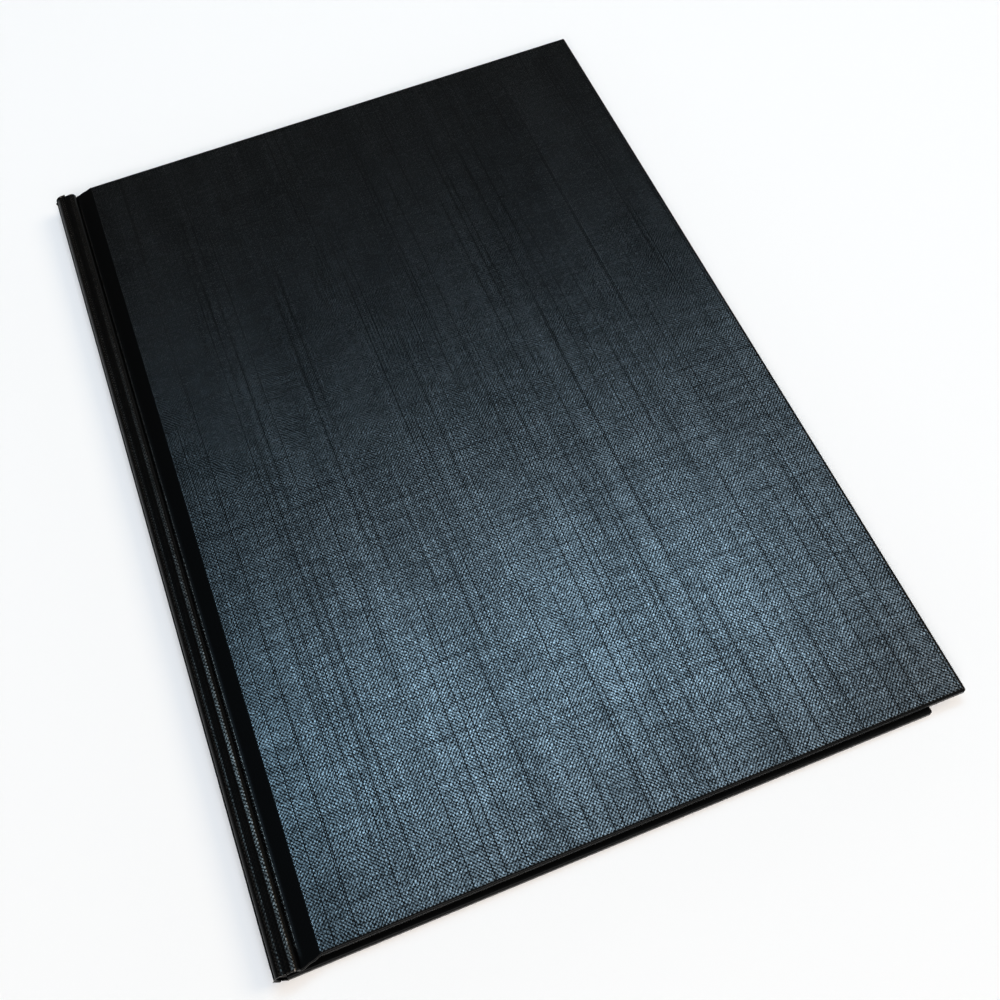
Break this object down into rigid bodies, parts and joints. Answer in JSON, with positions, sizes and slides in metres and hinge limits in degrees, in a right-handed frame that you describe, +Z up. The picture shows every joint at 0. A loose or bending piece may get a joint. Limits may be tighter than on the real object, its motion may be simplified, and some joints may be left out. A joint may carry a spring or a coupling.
{
  "type": "hardcover clamp binder",
  "caption": "Flat hardcover binder with linen-embossed covers, flexible joint strips and a narrow spine that holds a sprung steel clamp for loose sheets.",
  "frame": {"origin": "centre of the back cover's outer face, which lies on the table", "axes": "+X from the spine to the fore edge, +Y from the tail to the head, +Z up through the front cover"},
  "size_m": [0.2129, 0.3065, 0.0086],
  "materials": {
    "covering_paper": "black linen-embossed covering paper, satin",
    "grey_board": "raw grey board",
    "endpaper": "matt uncoated paper",
    "spring_steel": "bright rolled spring steel",
    "lining_cloth": "fine black book cloth"
  },
  "bodies": {
    "back_cover": {"back_board": "grey_board", "back_cover_paper": "covering_paper", "back_endpaper": "endpaper"},
    "back_joint": {"back_joint_paper": "covering_paper", "back_joint_lining": "lining_cloth"},
    "spine": {"spine_cover_paper": "covering_paper", "clamp_web": "spring_steel"},
    "front_jaw": {"front_jaw": "spring_steel"},
    "back_jaw": {"back_jaw": "spring_steel"},
    "front_joint": {"front_joint_paper": "covering_paper", "front_joint_lining": "lining_cloth"},
    "front_cover": {"front_board": "grey_board", "front_cover_paper": "covering_paper", "front_endpaper": "endpaper"}
  },
  "joints": [
    {"name": "back_joint_fold", "type": "hinge", "parent": "back_cover", "child": "back_joint", "pos_m": [-0.09965, 0, 0.00015], "axis": [0, -1, 0], "range_deg": [0, 32]},
    {"name": "spine_roll", "type": "hinge", "parent": "back_joint", "child": "spine", "pos_m": [-0.102, 0, 0.00534], "axis": [0, -1, 0], "range_deg": [0, 148]},
    {"name": "front_joint_fold", "type": "hinge", "parent": "spine", "child": "front_joint", "pos_m": [-0.09416, 0, 0.0063], "axis": [0, -1, 0], "range_deg": [0, 80]},
    {"name": "front_cover_fold", "type": "hinge", "parent": "front_joint", "child": "front_cover", "pos_m": [-0.08852, 0, 0.0071], "axis": [0, -1, 0], "range_deg": [0, 100]},
    {"name": "front_jaw_spring", "type": "hinge", "parent": "spine", "child": "front_jaw", "pos_m": [-0.09535, 0, 0.00696], "axis": [0, -1, 0], "range_deg": [0, 12], "stiffness_Nm_per_rad": 0.3, "springref_deg": -17.19},
    {"name": "back_jaw_spring", "type": "hinge", "parent": "spine", "child": "back_jaw", "pos_m": [-0.10101, 0, 0.00627], "axis": [0, 1, 0], "range_deg": [0, 12], "stiffness_Nm_per_rad": 0.3, "springref_deg": -17.19}
  ],
  "couplings": [
    {"joint": "back_joint_fold", "follows": "spine_roll", "ratio": 0.216},
    {"joint": "front_joint_fold", "follows": "front_cover_fold", "ratio": 0.8},
    {"joint": "back_jaw_spring", "follows": "front_jaw_spring", "ratio": 1}
  ]
}
